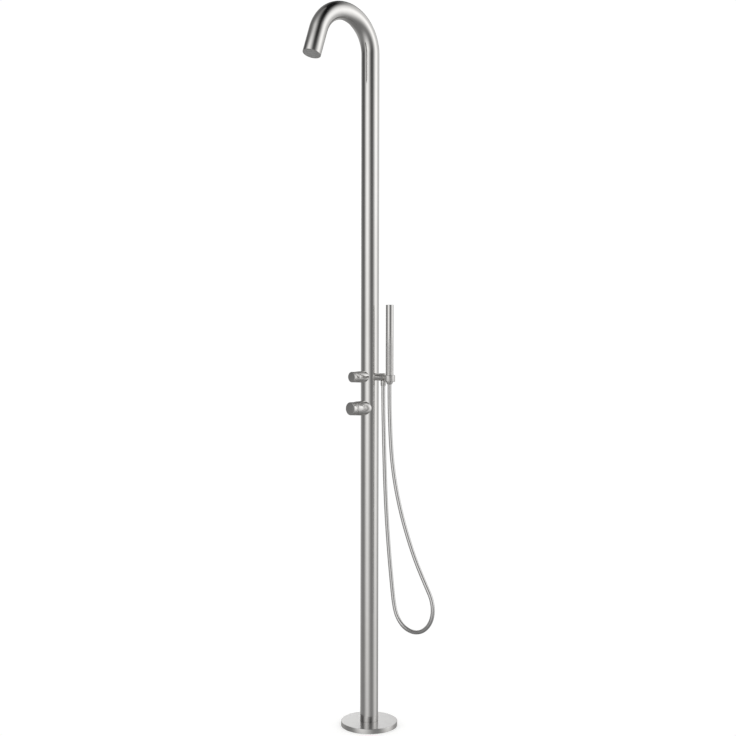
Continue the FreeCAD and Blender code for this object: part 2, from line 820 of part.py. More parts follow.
# ---- Hose ----
def make_hose_ferrule():
    """Turned end of the hose that screws onto the outlet under the arm."""
    top = arm_underside
    nipple_floor = top - nipple_length
    bore_r = nipple_d / 2 + fit_gap
    outer_r = ferrule_d / 2
    grip_r = hose_d / 2 + fit_gap
    ferrule = turned([
        (bore_r, top),
        (outer_r, top),
        (outer_r, ferrule_bottom),
        (grip_r, ferrule_bottom),
        (grip_r, hose_start_z),
        (hose_bore_d / 2, hose_start_z),
        (hose_bore_d / 2, nipple_floor),
        (bore_r, nipple_floor),
    ], V(outlet_x, 0, 0))
    return rounded(ferrule, ferrule_edge, outer_r, V(outlet_x, 0, ferrule_bottom))


def rounded_route(points, name):
    """Wire of straight runs joined by tangent arcs, each as large as its runs allow."""
    corners = [V(x, 0, z) for x, z in points]
    edges = []
    radii = []
    start = corners[0]
    for before, corner, after in zip(corners, corners[1:], corners[2:]):
        into = corner.sub(before)
        out = after.sub(corner)
        half_turn = into.getAngle(out) / 2
        setback = corner_share * min(into.Length, out.Length)
        radii.append(setback / math.tan(half_turn))
        arc_start = corner - into.normalize() * setback
        arc_end = corner + out.normalize() * setback
        middle = (arc_start + arc_end) * 0.5
        sagitta = radii[-1] * (1 - math.cos(half_turn))
        crown = middle + (corner - middle).normalize() * sagitta
        edges.append(Part.LineSegment(start, arc_start).toShape())
        edges.append(Part.Arc(arc_start, crown, arc_end).toShape())
        start = arc_end
    edges.append(Part.LineSegment(start, corners[-1]).toShape())
    wire = Part.Wire(edges)
    print(name, "length", round(wire.Length, 1), "smallest radius", round(min(radii), 1),
          "allowed", smallest_bend * hose_d)
    return wire


def make_hose():
    wire = rounded_route(HOSE_ROUTE, "shower_hose")
    start = wire.Vertexes[0].Point
    solids = []
    for diameter in (hose_d, hose_bore_d):
        ring = Part.Wire(Part.makeCircle(diameter / 2, start, DOWN))
        solids.append(wire.makePipeShell([ring], True, False))
    hose = solids[0].cut(solids[1])
    section = math.pi * (hose_d ** 2 - hose_bore_d ** 2) / 4
    print("shower_hose volume over section times length",
          round(hose.Volume / section / wire.Length, 4))
    return hose


# ---- The whole part ----
def make_parts():
    mixer = Control(mixer_z, mixer_base_d, mixer_face_d, mixer_sleeve_reach, mixer_knob_reach,
                    mixer_housing_d, mixer_cartridge_d, mixer_spindle_d, mixer_ports(),
                    mixer_port_d)
    diverter = Control(diverter_z, diverter_base_d, diverter_face_d, diverter_sleeve_reach,
                       diverter_knob_reach, diverter_housing_d, diverter_cartridge_d,
                       diverter_spindle_d, diverter_ports(), diverter_port_d)
    parts = {
        "base_flange": make_base_flange(),
        "base_cover": make_base_cover(),
        "cover_seal": make_cover_seal(),
        "post_tube": make_post_tube(),
        "spout_bend": make_spout_bend(),
        "cold_inlet_fitting": make_inlet_fitting(-1),
        "hot_inlet_fitting": make_inlet_fitting(1),
        "cold_supply_pipe": make_supply_pipe(-1),
        "hot_supply_pipe": make_supply_pipe(1),
        "mixer_block": make_mixer_block(),
        "link_pipe": make_link_pipe(),
        "diverter_block": make_diverter_block(),
        "riser_pipe": make_riser_pipe(),
        "outlet_body": make_outlet_body(),
        "outlet_oring": make_outlet_oring(),
        "nozzle_mat": make_nozzle_mat(),
        "spray_plate": make_spray_plate(),
        "handset_arm": make_arm(),
        "handset_holder": make_holder(),
        "hose_ferrule": make_hose_ferrule(),
        "shower_hose": make_hose(),
        "hose_stem": make_hose_stem(),
        "cone_nut": make_cone_nut(),
        "handset_washer": make_handset_washer(),
        "handset_waterway": make_handset_waterway(),
        "handset_tube": make_handset_tube(),
        "handset_cap": make_handset_cap(),
        "nozzle_strip": make_nozzle_strip(),
    }
    parts.update(mixer.pieces("mixer"))
    parts.update(diverter.pieces("diverter"))
    return parts


os.makedirs("parts", exist_ok=True)
for node, shape in make_parts().items():
    shape.exportStep("parts/" + node + ".step")
    print(node, len(shape.Solids), round(shape.Volume), shape.isValid())
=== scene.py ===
import json
import math
from types import SimpleNamespace
import bmesh
import bpy
from mathutils import Matrix, Vector

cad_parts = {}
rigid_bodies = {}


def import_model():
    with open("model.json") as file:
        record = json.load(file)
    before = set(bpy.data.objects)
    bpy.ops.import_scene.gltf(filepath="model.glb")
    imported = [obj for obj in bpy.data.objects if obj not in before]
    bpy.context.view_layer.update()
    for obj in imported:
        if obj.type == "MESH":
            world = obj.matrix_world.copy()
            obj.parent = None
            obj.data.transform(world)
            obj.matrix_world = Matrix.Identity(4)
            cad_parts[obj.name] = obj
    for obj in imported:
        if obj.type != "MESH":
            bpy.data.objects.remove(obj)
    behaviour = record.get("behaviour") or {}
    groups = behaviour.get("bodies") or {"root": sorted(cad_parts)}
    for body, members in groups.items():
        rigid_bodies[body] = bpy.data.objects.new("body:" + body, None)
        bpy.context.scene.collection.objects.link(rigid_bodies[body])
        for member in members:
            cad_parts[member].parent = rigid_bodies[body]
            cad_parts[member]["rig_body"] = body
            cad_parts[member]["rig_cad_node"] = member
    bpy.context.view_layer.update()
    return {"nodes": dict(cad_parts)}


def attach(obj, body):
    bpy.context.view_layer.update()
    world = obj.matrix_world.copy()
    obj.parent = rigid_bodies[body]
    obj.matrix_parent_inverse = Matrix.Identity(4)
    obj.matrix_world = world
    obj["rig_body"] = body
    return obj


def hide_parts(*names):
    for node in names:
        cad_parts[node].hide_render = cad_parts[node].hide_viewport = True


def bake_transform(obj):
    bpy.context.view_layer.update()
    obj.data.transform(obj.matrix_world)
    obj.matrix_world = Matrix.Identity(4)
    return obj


# Outdoor shower post, visual model. Metres, Z up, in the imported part's frame: the base is
# centred on the origin, the spout and the knobs point along -Y, the handset's arm along +X.

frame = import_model()
nodes = frame["nodes"]
MM = 0.001
FRONT = (0, -1, 0)
SIDE = (1, 0, 0)
UP = (0, 0, 1)

# ---- Sizes repeated from the part, millimetres ----
FIT = 0.05                  # a spigot or a screw in its bore
GAP = 0.3                   # pieces that pass each other without touching
TURN_GAP = 0.8              # shadow line between a knob and its sleeve
RIM_EDGE = 0.5

POST_R, POST_WALL = 27.0, 2.0
FLANGE_TOP, TANGENT_Z = 6.0, 2023.0     # ends of the straight tube
BEND_R, BEND_SWEEP = 109.0, math.radians(161.0)
TAIL = 77.0                 # straight end of the spout
COVER_R, COVER_H, COVER_WALL, COVER_EDGE = 85.0, 14.0, 2.5, 0.8

# The two controls: the height of the axis, the cone that sleeve and knob share, how far the
# sleeve and the knob reach from the post's axis, and what they turn and sit on.
MIXER = SimpleNamespace(z=964.0, base_r=22.5, face_r=19.4, sleeve_reach=65.2, knob_reach=82.5,
                        housing_r=17.5, spindle_r=4.0)
DIVERTER = SimpleNamespace(z=1058.0, base_r=17.5, face_r=15.6, sleeve_reach=59.6, knob_reach=77.0,
                           housing_r=13.5, spindle_r=3.5)
KNOB_WALL, KNOB_FACE, KNOB_EDGE = 2.5, 6.0, 2.0
NECK_REACH, BOSS_WALL, SCREW_R = 3.0, 4.0, 2.0

ARM_R, ARM_REACH = 11.25, 65.0
SPIGOT_R, SPIGOT_SEAT = 7.0, 1.5        # the arm's spigot, and its depth in the holder's wall
OUTLET_X, NIPPLE_R, NIPPLE_LENGTH = 57.0, 4.5, 7.0
HOLDER_X, HOLDER_R, HOLDER_LOW, HOLDER_TOP, HOLDER_EDGE = 83.0, 16.5, 1044.5, 1064.5, 2.2
SLOT_WIDTH = 14.0
NUT_LOW, NUT_TOP, NUT_WAIST_R, NUT_TOP_R, NUT_LIP = 1037.0, 1065.5, 11.0, 11.95, 1.2
NUT_THREAD_R, NUT_CAVITY_Z, STEM_R, COLLAR_Z = 9.85, 1055.8, 5.05, 1048.0
FERRULE_R, FERRULE_LOW, FERRULE_TOP, FERRULE_EDGE = 8.0, 1031.75, 1046.75, 1.2
HANDSET_R, HANDSET_WALL, HANDSET_TOP = 11.55, 1.2, 1272.5
CAP, CAP_PLUG, CAP_EDGE = 2.5, 6.0, 0.8
WINDOW_WIDTH, WINDOW_LOW, WINDOW_TOP = 9.0, 1148.0, 1256.0
HOSE_R, HOSE_BORE_R, HOSE_START_Z = 6.0, 4.0, 1036.75

# ---- Sizes of the scene alone, millimetres ----
MERGE = 0.002               # points closer than this are one
FINE_EDGE = 0.25            # broken edges of the tube and of the cover's hole
SLOT_EDGE = 0.3
NUT_EDGE = 0.4
RIM_LOOP, HOLE_LOOP = 0.4, 0.7          # loops beside rounded rims, which keep the flat face flat
SLEEVE_FOOT, ARM_FOOT = 8.0, 15.0       # where a piece starts inside the post, before its cut
CUT_REACH = 60.0            # how far the cut to the post goes above and below the axis
PAST = 5.0                  # how far a cutting tool stands out of the piece
TUBE_HEIGHTS = [FLANGE_TOP, 20.0, 250.0, 500.0, 750.0, 1000.0, 1250.0, 1500.0, 1750.0, TANGENT_Z]

# The hose's route in metres, from the outlet under the arm, round the low loop and up to the
# cone nut.
HOSE_ROUTE = [
    (0.057, 0, 1.03675), (0.057, 0, 0.985), (0.0586, 0, 0.925), (0.0612, 0, 0.850),
    (0.0644, 0, 0.765), (0.0692, 0, 0.680), (0.0763, 0, 0.595), (0.0858, 0, 0.510),
    (0.0950, 0, 0.440), (0.1025, 0, 0.388), (0.1145, 0, 0.351), (0.1410, 0, 0.324),
    (0.1780, 0, 0.3135), (0.2160, 0, 0.3215), (0.2460, 0, 0.347), (0.2600, 0, 0.383),
    (0.2545, 0, 0.422), (0.2290, 0, 0.461), (0.1905, 0, 0.524), (0.1580, 0, 0.592),
    (0.1310, 0, 0.660), (0.1090, 0, 0.734), (0.0952, 0, 0.804), (0.0886, 0, 0.868),
    (0.0853, 0, 0.928), (0.0830, 0, 0.984), (0.0830, 0, 1.0420),
]
HOSE_POINTS = 22            # points round the hose
SPIRAL_PITCH = 0.0032       # from one turn of the hose's strip to the next
SPIRAL_STEPS = 6            # rings of points for each turn of the strip
SPIRAL_DEPTH = 0.0002
SPIRAL_SHARPNESS = 4        # how narrow the groove is against the crown

# ---- Camera, metres and radians ----
CAMERA_AZIMUTH = math.radians(45.16)
CAMERA_PITCH, CAMERA_ROLL = 0.0217, 0.0019
CAMERA_PLACE = (2.4599, -2.4539, 1.1594)
CAMERA_LENS, CAMERA_SENSOR = 56.32, 36


def make_camera():
    away = Vector((math.sin(CAMERA_AZIMUTH), -math.cos(CAMERA_AZIMUTH), 0))
    right = Vector((math.cos(CAMERA_AZIMUTH), math.sin(CAMERA_AZIMUTH), 0))
    forward = -away * math.cos(CAMERA_PITCH) - Vector(UP) * math.sin(CAMERA_PITCH)
    up = right.cross(forward)
    right, up = (right * math.cos(CAMERA_ROLL) + up * math.sin(CAMERA_ROLL),
                 up * math.cos(CAMERA_ROLL) - right * math.sin(CAMERA_ROLL))
    data = bpy.data.cameras.new("camera")
    data.sensor_width = CAMERA_SENSOR
    data.lens = CAMERA_LENS
    data.clip_end = 50
    camera = bpy.data.objects.new("camera", data)
    bpy.context.scene.collection.objects.link(camera)
    turn = Matrix((right, up, -forward)).transposed().to_4x4()
    camera.matrix_world = Matrix.Translation(CAMERA_PLACE) @ turn
    bpy.context.scene.camera = camera


# ---- Modelling helpers ----
def deselect():
    bpy.ops.object.select_all(action="DESELECT")


def activate(piece):
    deselect()
    piece.select_set(True)
    bpy.context.view_layer.objects.active = piece


def in_edit(piece):
    activate(piece)
    bpy.ops.object.mode_set(mode="EDIT")


def to_object():
    bpy.ops.object.mode_set(mode="OBJECT")


def apply_place():
    bpy.ops.object.transform_apply(location=True, rotation=True, scale=True)


def clean_up_in_edit():
    """Merge doubled points, turn all faces outwards, and leave edit mode."""
    bpy.ops.mesh.select_all(action="SELECT")
    bpy.ops.mesh.remove_doubles(threshold=MERGE * MM)
    bpy.ops.mesh.normals_make_consistent(inside=False)
    to_object()


def draw_out(radius, along, next_radius, next_along):
    """Extrude the selected ring to its next place on the profile."""
    bpy.ops.mesh.extrude_edges_move(
        TRANSFORM_OT_translate={"value": (0, 0, (next_along - along) * MM)})
    if next_radius != radius:
        factor = next_radius / radius
        bpy.ops.transform.resize(value=(factor, factor, 1), center_override=(0, 0, next_along * MM))


def turned(name, profile, capped=False, segments=96):
    """Turned piece along Z; profile is a list of (radius, distance along the axis). It is
    closed into a ring, or capped at its two ends."""
    deselect()
    radius, along = profile[0]
    bpy.ops.mesh.primitive_circle_add(vertices=segments, radius=radius * MM,
                                      fill_type="NGON" if capped else "NOTHING",
                                      location=(0, 0, along * MM))
    piece = bpy.context.object
    piece.name = piece.data.name = name
    bpy.ops.object.mode_set(mode="EDIT")
    steps = profile[1:] if capped else profile[1:] + profile[:1]
    for next_radius, next_along in steps:
        draw_out(radius, along, next_radius, next_along)
        radius, along = next_radius, next_along
    if capped:
        bpy.ops.mesh.edge_face_add()
    clean_up_in_edit()
    apply_place()
    return piece


def round_rim(piece, radius, along, size, segments=4):
    """Bevel the circular edge at this radius and distance along Z."""
    in_edit(piece)
    bpy.ops.mesh.select_mode(type="EDGE")
    bpy.ops.mesh.select_all(action="DESELECT")
    mesh = bmesh.from_edit_mesh(piece.data)
    for edge in mesh.edges:
        on_rim = [abs(v.co.z - along * MM) < 0.01 * MM
                  and abs(math.hypot(v.co.x, v.co.y) - radius * MM) < 0.01 * MM
                  for v in edge.verts]
        edge.select_set(all(on_rim))
    bmesh.update_edit_mesh(piece.data)
    bpy.ops.mesh.bevel(offset=size * MM, segments=segments, affect="EDGES")
    to_object()


def place(piece, base=(0, 0, 0), axis=UP):
    """Turn the piece from Z to its axis, move it to its base in mm, and apply that."""
    turn = Vector(UP).rotation_difference(Vector(axis)).to_matrix().to_4x4()
    piece.matrix_world = Matrix.Translation(Vector(base) * MM) @ turn
    activate(piece)
    apply_place()
    return piece


def cylinder_tool(radius, start, end, base, axis, segments):
    """Plain cylinder used to cut or join; it is deleted afterwards."""
    deselect()
    bpy.ops.mesh.primitive_cylinder_add(vertices=segments, radius=radius * MM,
                                        depth=(end - start) * MM,
                                        location=(0, 0, (start + end) / 2 * MM))
    tool = bpy.context.object
    apply_place()
    return place(tool, base, axis)


def box_tool(low, high):
    """Plain box used to cut; it is deleted afterwards."""
    low, high = Vector(low) * MM, Vector(high) * MM
    deselect()
    bpy.ops.mesh.primitive_cube_add(size=1, location=(low + high) / 2)
    tool = bpy.context.object
    tool.scale = high - low
    apply_place()
    return tool


def combine(piece, tool, operation="DIFFERENCE"):
    modifier = piece.modifiers.new("cut", "BOOLEAN")
    modifier.operation = operation
    modifier.solver = "EXACT"
    modifier.object = tool
    activate(piece)
    bpy.ops.object.modifier_apply(modifier=modifier.name)
    bpy.data.objects.remove(tool)


def cut_to_post(piece, z):
    """Give the piece's foot the saddle shape that fits round the post."""
    combine(piece, cylinder_tool(POST_R, z - CUT_REACH, z + CUT_REACH, (0, 0, 0), UP, 256))


def soften(piece, width, segments, angle):
    """Break the edges sharper than the angle, as hand polishing does."""
    modifier = piece.modifiers.new("edges", "BEVEL")
    modifier.width = width * MM
    modifier.segments = segments
    modifier.limit_method = "ANGLE"
    modifier.angle_limit = math.radians(angle)
    modifier.use_clamp_overlap = True
    activate(piece)
    bpy.ops.object.modifier_apply(modifier=modifier.name)


def finish_piece(piece, body, material, slot, *replaced, angle=40):
    activate(piece)
    bpy.ops.object.shade_smooth_by_angle(angle=math.radians(angle))
    piece.data.materials.clear()
    piece.data.materials.append(material)
    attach(piece, body)
    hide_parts(*replaced)


# ---- Materials ----
class Graph:
    """A short way to write a node tree."""

    def __init__(self, tree):
        self.tree = tree

    def node(self, kind, inputs=None, **settings):
        made = self.tree.nodes.new(kind)
        for key, value in settings.items():
            setattr(made, key, value)
        for key, value in (inputs or {}).items():
            self.feed(made.inputs[key], value)
        return made

    def feed(self, socket, value):
        """Link a node's output to the socket, or set the socket to a number."""
        if isinstance(value, bpy.types.NodeSocket):
            self.tree.links.new(value, socket)
        else:
            socket.default_value = value

    def math(self, operation, *values):
        made = self.node("ShaderNodeMath", operation=operation)
        for socket, value in zip(made.inputs, values):
            self.feed(socket, value)
        return made.outputs[0]

    def fade(self, value, low, high, at_low, at_high):
        """Smooth step from one number to another between two values."""
        made = self.node("ShaderNodeMapRange", {
            "Value": value, "From Min": low, "From Max": high, "To Min": at_low, "To Max": at_high,
        }, interpolation_type="SMOOTHSTEP")
        return made.outputs["Result"]

    def noise(self, vector, scale, detail=2.0, stretch=(1, 1, 1)):
        mapping = self.node("ShaderNodeMapping", {"Vector": vector, "Scale": stretch})
        made = self.node("ShaderNodeTexNoise", {
            "Vector": mapping.outputs["Vector"], "Scale": scale, "Detail": detail,
        })
        return made.outputs["Fac"]

    def relief(self, height, strength):
        made = self.node("ShaderNodeBump",
                         {"Height": height, "Strength": strength, "Distance": 0.0002})
        return made.outputs["Normal"]


def new_material(name):
    material = bpy.data.materials.new(name)
    material.use_nodes = True
    graph = Graph(material.node_tree)
    return material, graph, material.node_tree.nodes["Principled BSDF"]


def tinted(graph, value, dark, light, low=0.35, high=0.65):
    """Colour that runs from dark to light with a noise value."""
    ramp = graph.node("ShaderNodeValToRGB", {"Fac": value})
    ramp.color_ramp.elements[0].position = low
    ramp.color_ramp.elements[1].position = high
    ramp.color_ramp.elements[0].color = (*dark, 1)
    ramp.color_ramp.elements[1].color = (*light, 1)
    return ramp.outputs["Color"]


def polished_steel(name, stretch, roughness, dark=(0.765, 0.757, 0.742),
                   light=(0.805, 0.797, 0.785), attribute=None, satin=None, coat=None):
    """Polished stainless steel: fine lines from the polishing belt, a few faint smears. Satin
    gives two heights, between which the finish turns duller downwards, and by how much. Coat
    gives the roughness and the refractive index of a clear second gloss."""
    material, graph, shader = new_material(name)
    if attribute:
        where = graph.node("ShaderNodeAttribute", attribute_name=attribute).outputs["Vector"]
    else:
        where = graph.node("ShaderNodeTexCoord").outputs["Object"]
    lines = graph.noise(where, 260.0, 3.0, stretch)
    smears = graph.noise(where, 9.0, 4.0, (1, 1, 0.6))
    spots = graph.noise(where, 70.0, 2.0)
    rough = graph.fade(lines, 0.3, 0.7, roughness - 0.025, roughness + 0.025)
    rough = graph.math("ADD", rough, graph.fade(smears, 0.45, 0.7, 0.0, 0.03))
    if satin:
        low, high, duller = satin
        height = graph.node("ShaderNodeSeparateXYZ", {"Vector": where}).outputs["Z"]
        rough = graph.math("ADD", rough, graph.fade(height, low, high, duller, 0.0))
    tone = graph.math("MULTIPLY_ADD", smears, 0.7, graph.math("MULTIPLY", spots, 0.3))
    graph.feed(shader.inputs["Base Color"], tinted(graph, tone, dark, light))
    graph.feed(shader.inputs["Roughness"], rough)
    graph.feed(shader.inputs["Normal"], graph.relief(lines, 0.04))
    graph.feed(shader.inputs["Metallic"], 1.0)
    if coat:
        coat_roughness, coat_index = coat
        graph.feed(shader.inputs["Coat Weight"], 1.0)
        graph.feed(shader.inputs["Coat Roughness"], coat_roughness)
        graph.feed(shader.inputs["Coat IOR"], coat_index)
    return material


def plain_finish(name, dark, light, roughness, metallic=0.0, scale=120.0, relief=0.15,
                 stretch=(1, 1, 1)):
    """Moulded, cast or machined finish with a fine texture and a slight change of tone."""
    material, graph, shader = new_material(name)
    where = graph.node("ShaderNodeTexCoord").outputs["Object"]
    grain = graph.noise(where, scale * 8, 3.0, stretch)
    tone = graph.noise(where, scale, 3.0)
    graph.feed(shader.inputs["Base Color"], tinted(graph, tone, dark, light))
    graph.feed(shader.inputs["Roughness"],
               graph.fade(grain, 0.3, 0.7, roughness - 0.06, roughness + 0.06))
    graph.feed(shader.inputs["Normal"], graph.relief(grain, relief))
    graph.feed(shader.inputs["Metallic"], metallic)
    return material


def hose_steel():
    """Stainless strip wound into a hose: bright crowns, and painted shade that darkens the grooves
    between the turns.
    """
    material, graph, shader = new_material("hose_steel")
    groove = graph.node("ShaderNodeAttribute", attribute_name="groove").outputs["Fac"]
    where = graph.node("ShaderNodeTexCoord").outputs["Object"]
    tone = graph.noise(where, 60.0, 3.0)
    # Painted shade: the groove mask darkens the colour between the turns, mixed with a random tone.
    groove_shade_and_tone = graph.math("ADD", graph.math("MULTIPLY", groove, 0.8), graph.math("MULTIPLY", tone, 0.2))
    graph.feed(shader.inputs["Base Color"],
               tinted(graph, groove_shade_and_tone, (0.86, 0.855, 0.85), (0.42, 0.415, 0.41), 0.2, 0.9))
    graph.feed(shader.inputs["Roughness"], graph.fade(groove, 0.0, 1.0, 0.20, 0.42))
    graph.feed(shader.inputs["Metallic"], 1.0)
    return material


# The second value of a polished steel stretches its lines: a small number makes them long in
# that direction, and the turned pieces have them round their axis.
POST_STEEL = polished_steel("post_steel", (1, 1, 0.02), 0.12, attribute="straight")
TURNED_STEEL = polished_steel("turned_steel", (0.05, 1, 0.05), 0.19)
CUP_STEEL = polished_steel("cup_steel", (0.05, 0.05, 1), 0.40)
ARM_STEEL = polished_steel("arm_steel", (1, 0.05, 0.05), 0.14)
DISC_STEEL = polished_steel("disc_steel", (1, 1, 1), 0.14)
DISC_FACE = polished_steel("disc_face", (1, 1, 1), 0.36, dark=(0.40, 0.396, 0.39),
                           light=(0.46, 0.456, 0.45), coat=(0.08, 2.2))
HANDSET_STEEL = polished_steel("handset_steel", (1, 1, 0.03), 0.15, satin=(1.140, 1.205, 0.33))
PLATE_STEEL = plain_finish("plate_steel", (0.80, 0.795, 0.785), (0.86, 0.855, 0.845), 0.45,
                           metallic=1.0, scale=90, relief=0.1)
BRASS = plain_finish("machined_brass", (0.72, 0.56, 0.30), (0.80, 0.64, 0.36), 0.30, metallic=1.0)
PIPE_STEEL = plain_finish("pipe_steel", (0.62, 0.61, 0.60), (0.70, 0.69, 0.68), 0.3,
                          metallic=1.0, stretch=(1, 1, 0.05))
FLANGE_STEEL = plain_finish("flange_steel", (0.55, 0.545, 0.535), (0.64, 0.635, 0.625), 0.42,
                            metallic=1.0)
RUBBER = plain_finish("seal_rubber", (0.018, 0.018, 0.018), (0.035, 0.035, 0.034), 0.7)
SILICONE = plain_finish("nozzle_silicone", (0.42, 0.43, 0.43), (0.50, 0.51, 0.51), 0.5)
PLASTIC = plain_finish("valve_plastic", (0.62, 0.62, 0.60), (0.70, 0.70, 0.68), 0.45)
CERAMIC = plain_finish("disc_ceramic", (0.80, 0.79, 0.76), (0.86, 0.85, 0.82), 0.25)
HOSE_STEEL = hose_steel()


# ---- Post, spout and base ----
def make_post():
    """Straight tube, bend and outlet end, welded and ground to one tube."""
    deselect()
    bpy.ops.mesh.primitive_circle_add(vertices=128, radius=POST_R * MM,
                                      location=(0, 0, FLANGE_TOP * MM))
    post = bpy.context.object
    post.name = post.data.name = "post_shell"
    bpy.ops.object.transform_apply(location=True)
    in_edit(post)
    for low, high in zip(TUBE_HEIGHTS, TUBE_HEIGHTS[1:]):
        draw_out(POST_R, low, POST_R, high)
    bpy.ops.mesh.spin(steps=110, angle=-BEND_SWEEP, axis=SIDE,
                      center=(0, -BEND_R * MM, TANGENT_Z * MM))
    tail_direction = Vector((0, -math.sin(BEND_SWEEP), math.cos(BEND_SWEEP)))
    for share in (0.3, 0.7):
        bpy.ops.mesh.extrude_edges_move(
            TRANSFORM_OT_translate={"value": tail_direction * (TAIL * MM * share)})
    clean_up_in_edit()
    wall = post.modifiers.new("wall", "SOLIDIFY")
    wall.thickness = POST_WALL * MM
    wall.offset = -1
    activate(post)
    bpy.ops.object.modifier_apply(modifier=wall.name)
    soften(post, FINE_EDGE, 2, 60)
    lay_straight(post)
    finish_piece(post, "post", POST_STEEL, "stainless", "post_tube", "spout_bend")


def lay_straight(post):
    """Attribute with each point's place on the tube before it was bent."""
    places = []
    for vertex in post.data.vertices:
        x, y, z = vertex.co
        back, rise = y + BEND_R * MM, z - TANGENT_Z * MM
        if rise <= 0 and back > 0:
            places.extend((x, y, z))
            continue
        turn = math.atan2(rise, back) % (2 * math.pi)
        radius = math.hypot(back, rise)
        on_tail = 0.0
        if turn > BEND_SWEEP:
            turn = BEND_SWEEP
            radius = back * math.cos(turn) + rise * math.sin(turn)
            on_tail = rise * math.cos(turn) - back * math.sin(turn)
        places.extend((x, radius - BEND_R * MM, (TANGENT_Z + BEND_R * turn) * MM + on_tail))
    attribute = post.data.attributes.new("straight", "FLOAT_VECTOR", "POINT")
    attribute.data.foreach_set("vector", places)


def make_cover():
    hole_r, under, inner_r = POST_R + GAP, COVER_H - COVER_WALL, COVER_R - COVER_WALL
    cover = turned("floor_cover", [
        (hole_r, under), (inner_r, under), (inner_r, 0), (COVER_R, 0), (COVER_R, COVER_H),
        (COVER_R - COVER_EDGE - RIM_LOOP, COVER_H), (hole_r + HOLE_LOOP, COVER_H),
        (hole_r, COVER_H),
    ], segments=160)
    round_rim(cover, COVER_R, COVER_H, COVER_EDGE, 5)
    round_rim(cover, hole_r, COVER_H, FINE_EDGE, 2)
    finish_piece(cover, "post", DISC_STEEL, "stainless", "base_cover", angle=30)
    cover.data.materials.append(DISC_FACE)
    for face in cover.data.polygons:
        if face.normal.z > 0.99:
            face.material_index = 1


# ---- Controls ----
def outline_r(control, along):
    """Radius of the slim cone that a sleeve and its knob share."""
    return (control.base_r + (control.face_r - control.base_r) * (along - POST_R)
            / (control.knob_reach - POST_R))


def make_sleeve(name, control):
    reach, bore_r = control.sleeve_reach, control.housing_r + GAP
    end_r = outline_r(control, reach)
    sleeve = turned(name, [
        (bore_r, SLEEVE_FOOT), (control.base_r, SLEEVE_FOOT), (control.base_r, POST_R),
        (end_r, reach), (bore_r, reach),
    ], segments=112)
    round_rim(sleeve, end_r, reach, RIM_EDGE, 3)
    place(sleeve, (0, 0, control.z), FRONT)
    cut_to_post(sleeve, control.z)
    finish_piece(sleeve, "post", TURNED_STEEL, "stainless", name)


def make_knob(name, body, control):
    start, reach = control.sleeve_reach + TURN_GAP, control.knob_reach
    boss_start, boss_end = start + NECK_REACH, reach - KNOB_FACE
    start_r, face_r = outline_r(control, start), control.face_r
    spindle_r, boss_r = control.spindle_r, control.spindle_r + BOSS_WALL
    knob = turned(name, [
        (spindle_r, boss_end), (spindle_r, boss_start), (boss_r, boss_start), (boss_r, boss_end),
        (face_r - KNOB_WALL, boss_end), (face_r - KNOB_WALL, start), (start_r, start),
        (face_r, reach),
    ], capped=True, segments=112)
    round_rim(knob, face_r, reach, KNOB_EDGE, 6)
    round_rim(knob, start_r, start, RIM_EDGE, 3)
    place(knob, (0, 0, control.z), FRONT)
    screw_place = (0, -(boss_start + boss_end) / 2, control.z)
    combine(knob, cylinder_tool(SCREW_R + FIT, 0, start_r + PAST, screw_place, (0, 0, -1), 32))
    finish_piece(knob, body, TURNED_STEEL, "stainless", name)


# ---- Arm, holder and handset ----
def make_arm():
    arm = turned("arm_bar", [
        (ARM_R, ARM_FOOT), (ARM_R, ARM_REACH), (SPIGOT_R, ARM_REACH),
        (SPIGOT_R, HOLDER_X - HOLDER_R + SPIGOT_SEAT),
    ], capped=True, segments=112)
    round_rim(arm, ARM_R, ARM_REACH, RIM_EDGE, 3)
    place(arm, (0, 0, DIVERTER.z), SIDE)
    cut_to_post(arm, DIVERTER.z)
    nipple = cylinder_tool(NIPPLE_R, DIVERTER.z - ARM_R - NIPPLE_LENGTH, DIVERTER.z,
                           (OUTLET_X, 0, 0), UP, 64)
    combine(arm, nipple, "UNION")
    finish_piece(arm, "post", ARM_STEEL, "stainless", "handset_arm")


def make_holder():
    holder = turned("holder_cup", [
        (NUT_WAIST_R + GAP, HOLDER_LOW), (HOLDER_R, HOLDER_LOW),
        (HOLDER_R, HOLDER_TOP), (NUT_TOP_R + GAP, HOLDER_TOP),
    ], segments=128)
    round_rim(holder, HOLDER_R, HOLDER_LOW, HOLDER_EDGE, 6)
    round_rim(holder, HOLDER_R, HOLDER_TOP, HOLDER_EDGE, 6)
    place(holder, (HOLDER_X, 0, 0))
    combine(holder, box_tool((HOLDER_X - SLOT_WIDTH / 2, 0, HOLDER_LOW - PAST),
                             (HOLDER_X + SLOT_WIDTH / 2, HOLDER_R + PAST, HOLDER_TOP + PAST)))
    soften(holder, SLOT_EDGE, 3, 50)
    finish_piece(holder, "post", CUP_STEEL, "stainless", "handset_holder")


def make_nut():
    neck_r = HOSE_R + GAP
    nut = turned("hose_cone", [
        (neck_r, NUT_LOW), (neck_r + NUT_LIP, NUT_LOW), (NUT_WAIST_R, HOLDER_LOW),
        (NUT_TOP_R, HOLDER_TOP), (HANDSET_R, NUT_TOP), (NUT_THREAD_R, NUT_TOP),
        (NUT_THREAD_R, NUT_CAVITY_Z), (STEM_R, NUT_CAVITY_Z), (STEM_R, COLLAR_Z),
        (neck_r, COLLAR_Z),
    ])
    round_rim(nut, neck_r + NUT_LIP, NUT_LOW, NUT_EDGE, 3)
    place(nut, (HOLDER_X, 0, 0))
    finish_piece(nut, "handset", CUP_STEEL, "stainless", "cone_nut", angle=25)


